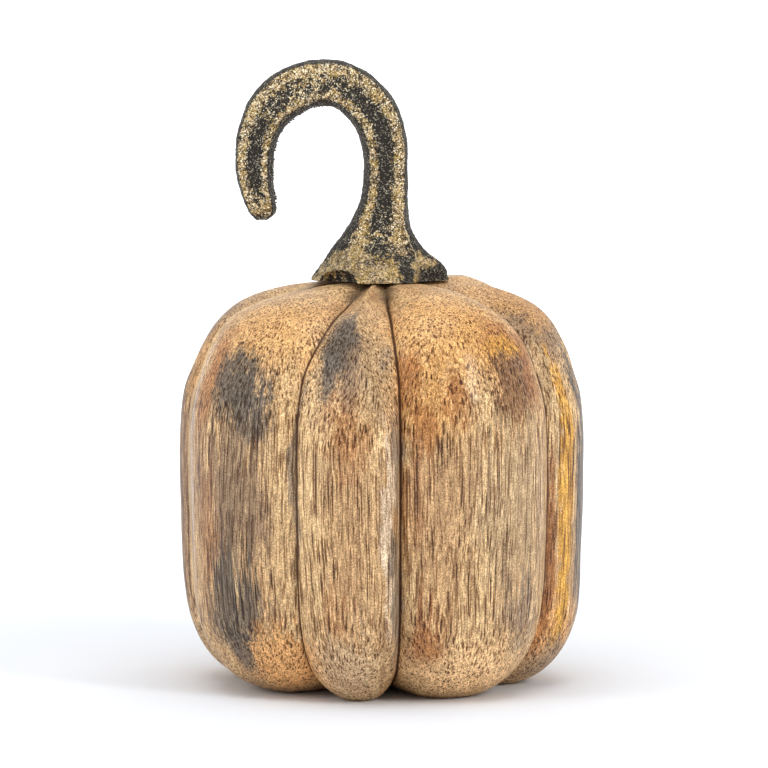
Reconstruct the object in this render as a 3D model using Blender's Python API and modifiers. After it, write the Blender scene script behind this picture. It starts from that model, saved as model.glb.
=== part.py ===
"""Carved wooden pumpkin ornament with a cast hook-shaped stem.

The turned wood blank is carved into eight uneven lobes.  The cast stem stands on
the flat seat on top of the wood and is held by a stud that runs down into a blind
hole.  Units are metres, +Z is up and the front of the ornament faces -Y.
"""
import bpy
import bmesh
import math
from mathutils import Vector

MM = 0.001

# Wood body, in millimetres: radius and height of the lobe crests, top to bottom.
BLANK_OUTLINE = (
    (0.0, 101.6), (8.0, 101.6), (17.0, 101.5), (25.0, 100.6), (32.5, 98.6),
    (38.6, 95.6), (42.9, 91.4), (45.8, 86.4), (48.0, 80.6), (50.1, 73.4),
    (51.0, 64.0), (51.0, 50.0), (50.6, 36.0), (50.0, 25.0), (48.6, 16.6),
    (45.6, 9.6), (41.0, 4.2), (35.0, 1.0), (28.0, 0.0), (12.0, 0.0), (0.0, 0.0))
SEAT_HEIGHT = 101.6
RINGS = 46
LOBES = 8
STEPS_PER_LOBE = 12

# Carving, lobe by lobe, going round from the front: bearing of the groove that
# starts each lobe (degrees, 0 faces -Y) and its turn towards the top, place of the
# crest between its two grooves on the side, at the shoulder and at the heel, extra
# swell of its side, shoulder and heel, and depth of its groove.
GROOVE_BEARING = (-26.5, 5.8, 63.0, 112.0, 154.0, 197.0, 238.0, 277.0)
GROOVE_TURN = (5.0, -1.4, -1.0, 0.0, 2.0, 0.0, -1.5, 0.0)
CREST_PLACE = (0.86, 0.46, 0.50, 0.50, 0.50, 0.50, 0.50, 0.46)
SHOULDER_CREST = (0.52, 0.46, 0.56, 0.50, 0.50, 0.50, 0.50, 0.46)
HEEL_CREST = (0.54, 0.46, 0.46, 0.50, 0.50, 0.50, 0.50, 0.50)
SIDE_SWELL = (0.6, 0.6, 0.2, 0.2, 0.3, 0.2, 0.8, 0.0)
SHOULDER_SWELL = (0.0, 0.2, 0.0, 1.7, 0.8, -0.6, -1.4, -1.0)
HEEL_SWELL = (0.8, 0.5, 0.6, 0.0, 0.0, 0.0, 0.0, 0.3)
GROOVE_DEPTH = (4.0, 4.6, 4.6, 4.4, 4.4, 4.4, 4.4, 4.2)
GROOVE_SHARPNESS = 2.6
CROWDING = 0.055
TOP_FADE = (5.0, 22.0)
BOTTOM_FADE = (9.0, 26.0)
MIDDLE_HEIGHT = 50.0
SHOULDER_BAND = (70.0, 26.0)
TURN_BAND = (80.0, 18.0)
HEEL_BAND = (30.0, 15.0)
HEEL_CREST_BAND = (17.0, 13.0)

# Stem, in millimetres, with heights above the underside of its foot.
FIT_GAP = 0.3
STEM_FOOT_HEIGHT = SEAT_HEIGHT + FIT_GAP
# Hook from its tip to the shaft: outer X, height, inner X, height, half depth,
# channel depth.
HOOK_STATIONS = (
    (-31.5, 15.3, -28.6, 15.1, 1.3, 0.0),
    (-33.4, 17.2, -26.3, 17.2, 3.7, 0.1),
    (-34.9, 20.7, -26.5, 20.7, 4.5, 0.6),
    (-36.4, 25.7, -27.0, 25.8, 4.6, 0.8),
    (-36.8, 32.7, -26.7, 32.2, 4.6, 0.8),
    (-35.8, 39.0, -25.2, 36.7, 4.6, 0.7),
    (-33.3, 45.3, -22.7, 39.8, 4.6, 0.6),
    (-29.1, 50.3, -19.7, 41.9, 4.6, 0.4),
    (-23.2, 53.9, -16.6, 43.2, 4.6, 0.2),
    (-16.2, 55.6, -13.9, 43.6, 4.6, 0.2),
    (-8.3, 54.8, -11.0, 42.7, 4.7, 0.5),
    (-1.3, 50.7, -7.8, 39.7, 4.9, 0.7),
    (4.1, 44.0, -5.7, 35.9, 5.0, 0.8),
    (6.6, 35.6, -4.7, 30.6, 5.0, 0.8),
    (6.8, 28.8, -4.6, 26.6, 5.1, 0.8))
# Shaft and flared foot: height, left X, right X, half depth, channel depth, foot
# blend.
SHAFT_STATIONS = (
    (24.0, -4.8, 6.8, 5.1, 0.8, 0.0),
    (18.3, -6.2, 6.8, 5.3, 0.8, 0.0),
    (12.9, -9.2, 7.8, 6.0, 0.6, 0.15),
    (8.1, -12.6, 10.8, 8.0, 0.0, 0.5),
    (3.6, -15.7, 16.0, 11.4, 0.0, 0.9),
    (0.8, -17.6, 17.0, 13.6, 0.0, 1.0),
    (0.0, -17.8, 17.1, 13.8, 0.0, 1.0))
# Half section seen along the stem, right side to left side: place across (from
# -1 to 1), place in depth (0 at the parting line, 1 at the face), share of the
# channel's depth.
SHAFT_SECTION = (
    (1.00, 0.00, 0.0), (0.96, 0.50, 0.0), (0.88, 0.90, 0.0), (0.76, 1.00, 0.0),
    (0.42, 1.00, 0.0), (0.24, 1.00, 1.0), (-0.22, 1.00, 1.0), (-0.40, 1.00, 0.0),
    (-0.68, 1.00, 0.0), (-0.80, 0.90, 0.0), (-0.91, 0.50, 0.0), (-1.00, 0.00, 0.0))
FOOT_FRONT = (
    (1.00, 0.00), (0.97, 0.17), (0.74, 0.30), (0.57, 0.44), (0.53, 0.70),
    (0.28, 0.86), (-0.12, 0.97), (-0.42, 1.00), (-0.62, 0.80), (-0.82, 0.48),
    (-0.96, 0.18), (-1.00, 0.00))
FOOT_BACK = (
    (1.00, 0.00), (0.96, 0.20), (0.80, 0.46), (0.62, 0.72), (0.42, 0.94),
    (0.18, 0.98), (-0.12, 0.96), (-0.40, 0.92), (-0.60, 0.74), (-0.80, 0.48),
    (-0.96, 0.20), (-1.00, 0.00))
HOOK_SPLITS = 3
SHAFT_SPLITS = 4

# Scooped arch between the left toe and the front of the foot.
ARCH_CENTRE = (-11.3, -9.9, 0.0)
ARCH_RADII = (6.3, 4.3, 3.3)
ARCH_TURN = 44.0

# Stud between stem and wood.
STUD_RADIUS = 3.0
STUD_CHAMFER = 0.5
WOOD_HOLE_DEPTH = 25.0
STEM_SOCKET_DEPTH = 13.0
ROUND_SIDES = 32


def smooth_step(value):
    """Ease from 0 to 1."""
    value = min(1.0, max(0.0, value))
    return value * value * (3.0 - 2.0 * value)


def curve_through(knots, place):
    """Point at a place (0 to 1) on a smooth curve through the knots."""
    last = len(knots) - 1
    spot = min(last - 1e-9, max(0.0, place * last))
    start = int(spot)
    part = spot - start
    before, here, after, beyond = (
        knots[min(last, max(0, start + shift))] for shift in (-1, 0, 1, 2))
    point = []
    for a, b, c, d in zip(before, here, after, beyond):
        point.append(0.5 * (2.0 * b + (c - a) * part
                            + (2.0 * a - 5.0 * b + 4.0 * c - d) * part ** 2
                            + (3.0 * b - a - 3.0 * c + d) * part ** 3))
    return point


def material(name, colour, roughness, metallic):
    """Principled material of one piece."""
    made = bpy.data.materials.new(name)
    made.use_nodes = True
    shader = made.node_tree.nodes["Principled BSDF"]
    shader.inputs["Base Color"].default_value = (*colour, 1.0)
    shader.inputs["Roughness"].default_value = roughness
    shader.inputs["Metallic"].default_value = metallic
    return made


def new_object(name, mesh, collection):
    """Object for a mesh, in a collection."""
    made = bpy.data.objects.new(name, mesh)
    collection.objects.link(made)
    return made


def carved_radius_shift(lobe, across, radius, height):
    """Distance that the carving moves a point of the blank outward."""
    rise = smooth_step((height - SHOULDER_BAND[0]) / SHOULDER_BAND[1])
    heel = smooth_step((HEEL_CREST_BAND[0] - height) / HEEL_CREST_BAND[1])
    crest = CREST_PLACE[lobe] + (SHOULDER_CREST[lobe] - CREST_PLACE[lobe]) * rise
    crest += (HEEL_CREST[lobe] - CREST_PLACE[lobe]) * heel
    if across < crest:
        off_crest = (crest - across) / crest
        depth = GROOVE_DEPTH[lobe]
    else:
        off_crest = (across - crest) / (1.0 - crest)
        depth = GROOVE_DEPTH[(lobe + 1) % LOBES]
    start, length = TOP_FADE if height > MIDDLE_HEIGHT else BOTTOM_FADE
    fade = smooth_step((radius - start) / length)
    bulge = 1.0 - off_crest ** 2
    swell = SIDE_SWELL[lobe]
    swell += SHOULDER_SWELL[lobe] * rise
    swell += HEEL_SWELL[lobe] * smooth_step((HEEL_BAND[0] - height) / HEEL_BAND[1])
    return fade * (swell * bulge - depth * off_crest ** GROOVE_SHARPNESS)


def groove_bearing(groove, height):
    """Bearing of a groove at a height, in degrees; the last groove is the first one again."""
    bearing = GROOVE_BEARING[groove % LOBES] + 360.0 * (groove // LOBES)
    turn = smooth_step((height - TURN_BAND[0]) / TURN_BAND[1])
    return bearing + GROOVE_TURN[groove % LOBES] * turn


def wood_blank(collection):
    """Turned blank: the crest outline carried round the upright axis."""
    outline = [curve_through(BLANK_OUTLINE, ring / RINGS) for ring in range(RINGS + 1)]
    mesh = bpy.data.meshes.new("blank_outline")
    points = [(max(0.0, radius) * MM, 0.0, height * MM) for radius, height in outline]
    edges = [(ring, ring + 1) for ring in range(RINGS)]
    mesh.from_pydata(points, edges, [])
    blank = new_object("blank_outline", mesh, collection)
    turn = blank.modifiers.new("turn", "SCREW")
    turn.axis = "Z"
    turn.steps = LOBES * STEPS_PER_LOBE
    turn.render_steps = LOBES * STEPS_PER_LOBE
    turn.use_merge_vertices = True
    turn.merge_threshold = 0.00001
    bpy.context.view_layer.update()
    evaluated = blank.evaluated_get(bpy.context.evaluated_depsgraph_get())
    turned = bpy.data.meshes.new_from_object(evaluated)
    bpy.data.objects.remove(blank)
    return turned


def carve(mesh):
    """Carve the lobes into the turned blank by moving its points."""
    shape = bmesh.new()
    shape.from_mesh(mesh)
    bmesh.ops.remove_doubles(shape, verts=shape.verts, dist=0.00001)
    slopes = outline_normals()
    whole = LOBES * STEPS_PER_LOBE
    for vert in shape.verts:
        radius = math.hypot(vert.co.x, vert.co.y) / MM
        height = vert.co.z / MM
        if radius < 0.01:
            continue
        turn = math.degrees(math.atan2(vert.co.x, -vert.co.y)) % 360.0
        step = round(turn / 360.0 * whole) % whole
        lobe = step // STEPS_PER_LOBE
        share = (step % STEPS_PER_LOBE) / STEPS_PER_LOBE
        across = share - CROWDING * math.sin(2.0 * math.pi * share)
        start = groove_bearing(lobe, height)
        end = groove_bearing(lobe + 1, height)
        bearing = math.radians(start + across * (end - start))
        shift = carved_radius_shift(lobe, across, radius, height)
        normal = slopes[nearest_ring(radius, height)]
        radius += normal[0] * shift
        height = min(SEAT_HEIGHT, max(0.0, height + normal[1] * shift))
        vert.co = Vector((radius * math.sin(bearing), -radius * math.cos(bearing), height)) * MM
    shape.to_mesh(mesh)
    shape.free()


def outline_normals():
    """Outward direction of the blank's outline at each ring."""
    normals = []
    for ring in range(RINGS + 1):
        before = curve_through(BLANK_OUTLINE, (ring - 0.5) / RINGS)
        after = curve_through(BLANK_OUTLINE, (ring + 0.5) / RINGS)
        run = (after[0] - before[0], after[1] - before[1])
        length = math.hypot(*run)
        normals.append((-run[1] / length, run[0] / length))
    return normals


def nearest_ring(radius, height):
    """Ring of the outline that a point of the blank belongs to."""
    best = 0
    least = 1e9
    for ring, (ring_radius, ring_height) in enumerate(OUTLINE_RINGS):
        gap = (ring_radius - radius) ** 2 + (ring_height - height) ** 2
        if gap < least:
            best = ring
            least = gap
    return best


def hook_section(station):
    """Points round the hook at one station."""
    outer_x, outer_z, inner_x, inner_z, depth, channel = station
    points = []
    for side in (-1.0, 1.0):
        rows = SHAFT_SECTION if side < 0.0 else SHAFT_SECTION[-2:0:-1]
        for across, deep, sunk in rows:
            share = (across + 1.0) / 2.0
            points.append((
                inner_x + (outer_x - inner_x) * share,
                side * (depth * deep - channel * sunk),
                inner_z + (outer_z - inner_z) * share))
    return points


def shaft_section(station):
    """Points round the shaft or the flared foot at one height."""
    height, left, right, depth, channel, blend = station
    points = []
    for side in (-1.0, 1.0):
        foot = FOOT_FRONT if side < 0.0 else FOOT_BACK
        order = range(len(foot)) if side < 0.0 else range(len(foot) - 2, 0, -1)
        for index in order:
            across, deep, sunk = SHAFT_SECTION[index]
            foot_across, foot_deep = foot[index]
            share = (across + (foot_across - across) * blend + 1.0) / 2.0
            reach = depth * (deep + (foot_deep - deep) * blend) - channel * sunk
            points.append((left + (right - left) * share, side * reach, height))
    return points


def stem_mesh():
    """Loft from the tip of the hook, over the bend and down to the foot."""
    hook_count = (len(HOOK_STATIONS) - 1) * HOOK_SPLITS
    shaft_count = (len(SHAFT_STATIONS) - 1) * SHAFT_SPLITS
    sections = [hook_section(curve_through(HOOK_STATIONS, step / hook_count))
                for step in range(hook_count + 1)]
    sections += [shaft_section(curve_through(SHAFT_STATIONS, step / shaft_count))
                 for step in range(shaft_count + 1)]
    shape = bmesh.new()
    rings = [[shape.verts.new(Vector(point) * MM) for point in section]
             for section in sections]
    count = len(rings[0])
    for upper, lower in zip(rings, rings[1:]):
        for here in range(count):
            there = (here + 1) % count
            shape.faces.new((upper[here], upper[there], lower[there], lower[here]))
    shape.faces.new(list(reversed(rings[0])))
    shape.faces.new(rings[-1])
    bmesh.ops.recalc_face_normals(shape, faces=shape.faces)
    bmesh.ops.triangulate(shape, faces=[face for face in shape.faces if len(face.verts) > 4])
    mesh = bpy.data.meshes.new("stem")
    shape.to_mesh(mesh)
    shape.free()
    return mesh


def upright_cylinder(name, radius, bottom, top, collection, chamfer=0.0):
    """Upright cylinder on the body's axis between two heights, in millimetres."""
    shape = bmesh.new()
    bmesh.ops.create_cone(
        shape, cap_ends=True, segments=ROUND_SIDES, radius1=radius * MM,
        radius2=radius * MM, depth=(top - bottom) * MM)
    if chamfer > 0.0:
        rims = [edge for edge in shape.edges
                if abs(edge.verts[0].co.z - edge.verts[1].co.z) < MM * 1e-3]
        bmesh.ops.bevel(shape, geom=rims, offset=chamfer * MM, segments=1, affect="EDGES")
    mesh = bpy.data.meshes.new(name)
    shape.to_mesh(mesh)
    shape.free()
    made = new_object(name, mesh, collection)
    made.location.z = (top + bottom) / 2.0 * MM
    return made


def arch_cutter(collection):
    """Ellipsoid that scoops the arch out of the foot."""
    shape = bmesh.new()
    bmesh.ops.create_uvsphere(shape, u_segments=24, v_segments=16, radius=MM)
    bmesh.ops.scale(shape, vec=ARCH_RADII, verts=shape.verts)
    mesh = bpy.data.meshes.new("arch_cutter")
    shape.to_mesh(mesh)
    shape.free()
    made = new_object("arch_cutter", mesh, collection)
    made.location = Vector(ARCH_CENTRE) * MM + Vector((0.0, 0.0, STEM_FOOT_HEIGHT * MM))
    made.rotation_euler.z = math.radians(-ARCH_TURN)
    return made


def cut(target, cutter):
    """Take a cutter's volume out of a piece."""
    cutter.hide_render = True
    cutter.display_type = "WIRE"
    step = target.modifiers.new("cut_" + cutter.name, "BOOLEAN")
    step.operation = "DIFFERENCE"
    step.solver = "EXACT"
    step.object = cutter


def shade(piece, angle=None):
    """Smooth shading, with sharp edges over an angle where one is given."""
    for face in piece.data.polygons:
        face.use_smooth = True
    if angle is not None:
        shape = bmesh.new()
        shape.from_mesh(piece.data)
        for edge in shape.edges:
            edge.smooth = edge.calc_face_angle(0.0) < math.radians(angle)
        shape.to_mesh(piece.data)
        shape.free()


for existing in list(bpy.data.objects):
    bpy.data.objects.remove(existing)

OUTLINE_RINGS = [curve_through(BLANK_OUTLINE, ring / RINGS) for ring in range(RINGS + 1)]

pumpkin = bpy.data.collections.new("carved_pumpkin")
cutters = bpy.data.collections.new("cutters")
bpy.context.scene.collection.children.link(pumpkin)
bpy.context.scene.collection.children.link(cutters)

body_mesh = wood_blank(pumpkin)
carve(body_mesh)
wood_body = new_object("wood_body", body_mesh, pumpkin)
wood_body.data.materials.append(material("carved_wood", (0.50, 0.32, 0.17), 0.42, 0.0))
shade(wood_body)
wood_hole = upright_cylinder(
    "wood_hole", STUD_RADIUS + FIT_GAP, SEAT_HEIGHT - WOOD_HOLE_DEPTH,
    SEAT_HEIGHT + WOOD_HOLE_DEPTH, cutters)
cut(wood_body, wood_hole)

stem = new_object("stem", stem_mesh(), pumpkin)
stem.location.z = STEM_FOOT_HEIGHT * MM
stem.data.materials.append(material("cast_metal", (0.17, 0.12, 0.06), 0.48, 0.85))
shade(stem, 40.0)
stem_socket = upright_cylinder(
    "stem_socket", STUD_RADIUS + FIT_GAP, STEM_FOOT_HEIGHT - STEM_SOCKET_DEPTH,
    STEM_FOOT_HEIGHT + STEM_SOCKET_DEPTH, cutters)
cut(stem, stem_socket)
cut(stem, arch_cutter(cutters))

stem_stud = upright_cylinder(
    "stem_stud", STUD_RADIUS, SEAT_HEIGHT - WOOD_HOLE_DEPTH + FIT_GAP,
    STEM_FOOT_HEIGHT + STEM_SOCKET_DEPTH - FIT_GAP, pumpkin, STUD_CHAMFER)
stem_stud.data.materials.append(material("stud_steel", (0.45, 0.45, 0.46), 0.35, 1.0))
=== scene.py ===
"""Looks of the carved wooden pumpkin: spalted wood body and gritty cast hook stem.

The frame gives the solids.  The wood body is carved again in fine detail by a
Geometry Nodes tree, the stem is lofted again with the marks of its casting, and
both get procedural finishes.  Lengths are in millimetres, and the studio's in metres.
"""

import math

import bmesh
import bpy
import numpy as np
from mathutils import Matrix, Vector, noise


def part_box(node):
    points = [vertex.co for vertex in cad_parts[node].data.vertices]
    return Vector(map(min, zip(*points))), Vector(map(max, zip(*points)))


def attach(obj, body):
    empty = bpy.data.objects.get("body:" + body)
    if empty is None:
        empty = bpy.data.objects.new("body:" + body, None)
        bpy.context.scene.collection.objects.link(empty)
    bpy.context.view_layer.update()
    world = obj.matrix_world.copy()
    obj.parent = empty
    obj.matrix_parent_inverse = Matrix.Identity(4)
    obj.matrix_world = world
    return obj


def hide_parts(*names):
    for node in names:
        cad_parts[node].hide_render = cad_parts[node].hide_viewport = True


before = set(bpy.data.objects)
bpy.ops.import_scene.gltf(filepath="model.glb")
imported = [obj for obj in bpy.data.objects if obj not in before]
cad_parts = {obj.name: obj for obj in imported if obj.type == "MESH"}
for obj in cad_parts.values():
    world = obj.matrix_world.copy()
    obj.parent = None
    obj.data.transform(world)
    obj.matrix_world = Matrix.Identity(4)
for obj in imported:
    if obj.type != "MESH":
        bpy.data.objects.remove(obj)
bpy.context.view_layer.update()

MM = 0.001

# Turned outline of the wood's lobe crests: radius and height, top to bottom.
BLANK_OUTLINE = (
    (0.0, 101.6), (8.0, 101.6), (17.0, 101.5), (25.0, 100.6), (32.5, 98.6),
    (38.6, 95.6), (42.9, 91.4), (45.8, 86.4), (48.0, 80.6), (50.1, 73.4),
    (51.0, 64.0), (51.0, 50.0), (50.6, 36.0), (50.0, 25.0), (48.6, 16.6),
    (45.6, 9.6), (41.0, 4.2), (35.0, 1.0), (28.0, 0.0), (12.0, 0.0), (0.0, 0.0))
SEAT_HEIGHT = 101.6
HOLE_RADIUS = 3.3
HOLE_FLOOR = 76.6

# Carving of each lobe, going round from the front, as in the solids.
GROOVE_BEARING = (-26.5, 5.8, 63.0, 112.0, 154.0, 197.0, 238.0, 277.0)
GROOVE_TURN = (5.0, -1.4, -1.0, 0.0, 2.0, 0.0, -1.5, 0.0)
SIDE_CREST = (0.86, 0.46, 0.50, 0.50, 0.50, 0.50, 0.50, 0.46)
SHOULDER_CREST = (0.52, 0.46, 0.56, 0.50, 0.50, 0.50, 0.50, 0.46)
HEEL_CREST = (0.54, 0.46, 0.46, 0.50, 0.50, 0.50, 0.50, 0.50)
SIDE_SWELL = (0.6, 0.6, 0.2, 0.2, 0.3, 0.2, 0.8, 0.0)
SHOULDER_SWELL = (0.0, 0.2, 0.0, 1.7, 0.8, -0.6, -1.4, -1.0)
HEEL_SWELL = (0.8, 0.5, 0.6, 0.0, 0.0, 0.0, 0.0, 0.3)
GROOVE_DEPTH = (4.0, 4.6, 4.6, 4.4, 4.4, 4.4, 4.4, 4.2)
TOP_FADE = (5.0, 22.0)
BOTTOM_FADE = (9.0, 26.0)
MIDDLE_HEIGHT = 50.0
SHOULDER_BAND = (70.0, 26.0)
TURN_BAND = (80.0, 18.0)
HEEL_BAND = (30.0, 15.0)
HEEL_CREST_BAND = (17.0, 13.0)

# Fine carving that the solids leave out: the V tool's line along each groove with a
# red-brown band in it, stain with painted shade, painted shadow where it runs under
# the stem's foot and pale edges beside it, wear with a painted highlight, the ridge
# along a lobe's crest, scored lines, and the slight waves of hand sanding.
LINE_DEPTH = (0.8, 1.0, 1.6, 1.0, 0.8, 1.0, 0.8, 1.0)
# Red-brown band in each groove, stain and painted shade: its width before and after each groove,
# and where it fades out towards the middle.
SHADE_AND_STAIN_BEFORE = (0.30, 0.35, 0.25, 0.4, 0.4, 0.4, 0.4, 0.5)
SHADE_AND_STAIN_AFTER = (0.60, 0.50, 0.95, 0.7, 0.9, 0.5, 0.8, 0.6)
SHADE_AND_STAIN_REACH = (12.0, 14.0)
# Painted shadow in the grooves under the stem's foot: its width and the radius out to which it
# reaches.
SEAT_SHADOW_WIDTH = 2.4
SEAT_SHADOW_REACH = (25.0, 7.0)
# Pale band beside each groove, wear with a painted highlight: its strength, place and width.
EDGE_WEAR_AND_HIGHLIGHT = (0.2, 0.2, 1.0, 0.4, 0.6, 0.3, 0.5, 0.7)
PALE_EDGE_PLACE = 2.4
PALE_EDGE_WIDTH = 1.2
RIDGE_LOW = (0.8, 0.0, 0.6, 0.4, 0.2, 0.8, 0.2, 0.0)
RIDGE_HIGH = (11.0, 0.4, 3.4, 1.2, 2.0, 0.8, 1.6, 0.3)
RIDGE_BAND = (62.0, 20.0)
SCORED_LINES = (
    (1.0, 0.6, ((0.9, 22.0), (0.5, 14.0), (0.2, 8.0), (0.0, 2.0))),
    (0.6, 0.6, ((142.0, 30.0), (144.0, 14.0), (146.0, 4.0))))
CARVING_NUMBERS = {
    "Groove sharpness": 2.6, "Line width": 0.5, "Ridge share": 1.0, "Sanding wave": 0.35,
    "Sanding length": 16.0, "Seat height": SEAT_HEIGHT, "Seed": 4.0}

# Grid of the carved body.  The hole's rim is looked for in the outline's first steps.
LOBES = len(GROOVE_BEARING)
COLUMNS_PER_LOBE = 56
COLUMN_CROWDING = 0.110
OUTLINE_STEPS = 2000
SEAT_STEPS = 400
OUTLINE_ROWS = 212
HOLE_ROWS = 8

# Stem, with heights above the underside of its foot.  Hook: outer X, height, inner
# X, height, half depth, channel depth, and how bare the channel is rubbed.
FOOT_HEIGHT = 101.9
HOOK_STATIONS = (
    (-31.5, 15.3, -28.6, 15.1, 1.3, 0.0, 1.0),
    (-33.4, 17.2, -26.3, 17.2, 3.7, 0.1, 1.0),
    (-34.9, 20.7, -26.5, 20.7, 4.5, 0.6, 0.8),
    (-36.4, 25.7, -27.0, 25.8, 4.6, 0.8, 0.0),
    (-36.8, 32.7, -26.7, 32.2, 4.6, 0.8, 0.0),
    (-35.8, 39.0, -25.2, 36.7, 4.6, 0.7, 0.2),
    (-33.3, 45.3, -22.7, 39.8, 4.6, 0.6, 0.3),
    (-29.1, 50.3, -19.7, 41.9, 4.6, 0.4, 0.3),
    (-23.2, 53.9, -16.6, 43.2, 4.6, 0.2, 0.6),
    (-16.2, 55.6, -13.9, 43.6, 4.6, 0.2, 0.6),
    (-8.3, 54.8, -11.0, 42.7, 4.7, 0.5, 0.4),
    (-1.3, 50.7, -7.8, 39.7, 4.9, 0.7, 0.1),
    (4.1, 44.0, -5.7, 35.9, 5.0, 0.8, 0.0),
    (6.6, 35.6, -4.7, 30.6, 5.0, 0.8, 0.0),
    (6.8, 28.8, -4.6, 26.6, 5.1, 0.8, 0.0))
SHAFT_STATIONS = (
    (24.0, -4.8, 6.8, 5.1, 0.8, 0.0),
    (18.3, -6.2, 6.8, 5.3, 0.8, 0.0),
    (12.9, -9.2, 7.8, 6.0, 0.6, 0.15),
    (8.1, -12.6, 10.8, 8.0, 0.0, 0.5),
    (3.6, -15.7, 16.0, 11.4, 0.0, 0.9),
    (0.8, -17.6, 17.0, 13.6, 0.0, 1.0),
    (0.0, -17.8, 17.1, 13.8, 0.0, 1.0))
# Half section, right to left: across, deep, share of the channel, and how bare
# the high spots are rubbed.
SHAFT_SECTION = (
    (1.00, 0.00, 0.0, -0.40), (0.96, 0.50, 0.0, -0.30), (0.88, 0.90, 0.0, 0.70),
    (0.76, 1.00, 0.0, 1.20), (0.42, 1.00, 0.0, 0.85), (0.24, 1.00, 1.0, -0.25),
    (-0.22, 1.00, 1.0, -0.25), (-0.40, 1.00, 0.0, 0.85), (-0.60, 1.00, 0.0, 1.25),
    (-0.73, 0.90, 0.0, 0.00), (-0.90, 0.50, 0.0, -0.40), (-1.00, 0.00, 0.0, -0.40))
FOOT_FRONT = (
    (1.00, 0.00, 0.20), (0.97, 0.17, 0.40), (0.74, 0.30, 0.38), (0.57, 0.44, 0.32),
    (0.53, 0.70, 0.50), (0.28, 0.86, 0.68), (-0.12, 0.97, 0.80), (-0.42, 1.00, 0.95),
    (-0.62, 0.80, 0.90), (-0.82, 0.48, 0.85), (-0.96, 0.18, 0.90), (-1.00, 0.00, 0.30))
FOOT_BACK = (
    (1.00, 0.00, 0.20), (0.96, 0.20, 0.50), (0.80, 0.46, 0.50), (0.62, 0.72, 0.60),
    (0.42, 0.94, 0.60), (0.18, 0.98, 0.60), (-0.12, 0.96, 0.60), (-0.40, 0.92, 0.60),
    (-0.60, 0.74, 0.60), (-0.80, 0.48, 0.60), (-0.96, 0.20, 0.60), (-1.00, 0.00, 0.30))
STATION_SPLITS = 16
CORNER_CUTS = 2
ARCH_CENTRE = (-11.3, -9.9, 0.0)
ARCH_RADII = (6.3, 4.3, 3.3)
ARCH_TURN = 44.0
ARCH_GRIT = 0.05
SOCKET_DEPTH = 13.0
UNRUBBED = -0.6
CHANNEL_RUBBED = 0.8
WALL_RUBBED = -0.45
WALL_FACING = 0.45
WALL_SOFTNESS = 0.30
FOOT_TOP = 8.0
BRUSHED_BAND = (11.0, 5.0)
# Spots where more or less is rubbed: X, height, half sizes and change. The thin
# bright one at 8.9 mm is a painted highlight along the foot's ridge, and the one at
# -11.5 mm darkens the foot round the arch.
STEM_SPOTS = (
    (6.2, 3.0, 2.0, 3.4, -0.40), (8.9, 3.0, 0.22, 3.0, 0.5), (0.6, 2.2, 1.6, 2.6, 1.0),
    (-6.5, 5.5, 4.0, 2.0, 0.3), (12.5, 1.6, 3.0, 1.4, -0.5), (12.0, 5.0, 3.0, 1.4, 0.5),
    (-11.5, 1.2, 3.2, 1.2, -1.4), (3.2, 9.0, 2.6, 1.5, 0.5), (1.0, 6.0, 4.0, 1.2, -0.3))
SPOT_REACH = 6.0
CAST_GRAIN = 0.16
CAST_GRAIN_LENGTH = 0.9
CAST_WAVE = 0.22
CAST_WAVE_LENGTH = 5.0
SMOOTH_EDGE = 0.6

# Beads of flash inside the hook: their tree's numbers, how far in they lie, where
# on the hook they start and over what share of it they run.
FLASH_NUMBERS = {"Spacing": 0.62, "Smallest": 0.12, "Largest": 0.34, "Stray": 0.22, "Seed": 7.0}
FLASH_INSIDE = 0.25
FLASH_STRETCH = (0.10, 0.55)
FLASH_POINTS = 90

# Camera, matched to the photo's outline.
CAMERA_AIM = (0.7, 0.0, 75.5)
CAMERA_DISTANCE = 1500.0
CAMERA_ELEVATION = 5.5
FRAME_PIXELS = 768
PIXEL_SIZE = 0.2525
SENSOR = 36.0
CAMERA_REACH = 50.0

# Studio, in metres.
WHITE = (1.0, 1.0, 1.0, 1.0)
BLACK = (0.0, 0.0, 0.0, 1.0)
STAGE_REACH = 10.0
BACKDROP_PLACE = 4.0
BACKDROP_FOOT = -0.5
BACKDROP_GLOW = 1.02
FLOOR_COLOUR = (0.84, 0.87, 0.92, 1.0)
# Painted glow of the floor, near and far, and the distances in metres between which it grows.
FLOOR_GLOW = (0.0, 0.75)
FLOOR_GLOW_REACH = (0.07, 0.50)
WORLD_GLOW = 0.38
LIGHT_AIM = (0.0, 0.0, 0.07)
# Name, power, size, bearing from the front, elevation and distance.
SOFT_BOXES = (
    ("top_box", 6.5, (0.9, 0.9), 0.0, 80.0, 1.0),
    ("right_box", 3.8, (0.20, 0.42), 51.0, 27.0, 1.1),
    ("left_box", 2.6, (0.4, 0.8), -62.0, 25.0, 1.1))

# Wood colours, as linear light.
CREAM = (0.66, 0.43, 0.21)
PALE = (0.66, 0.48, 0.31)
TAN = (0.52, 0.31, 0.145)
GOLDEN = (0.68, 0.385, 0.15)
HONEY = (0.56, 0.285, 0.085)
YELLOW = (0.68, 0.35, 0.06)
ORANGE_BROWN = (0.38, 0.145, 0.040)
BROWN = (0.235, 0.115, 0.050)
# Red-brown of the grooves: stain and painted shade.
RED_BROWN_STAIN_AND_SHADE = (0.085, 0.030, 0.012)
STREAK_TAN = (0.25, 0.155, 0.088)
GREY_TAN = (0.47, 0.315, 0.165)
GREY = (0.27, 0.20, 0.14)
SPALT = (0.125, 0.097, 0.072)
FIBRE = (0.36, 0.29, 0.21)
# Painted shadow under the stem's foot.
SEAT_SHADOW_PAINT = (0.045, 0.026, 0.015)
# Pale edge: wear with a painted highlight.
PALE_EDGE_WEAR_AND_HIGHLIGHT = (0.78, 0.58, 0.36)
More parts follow.
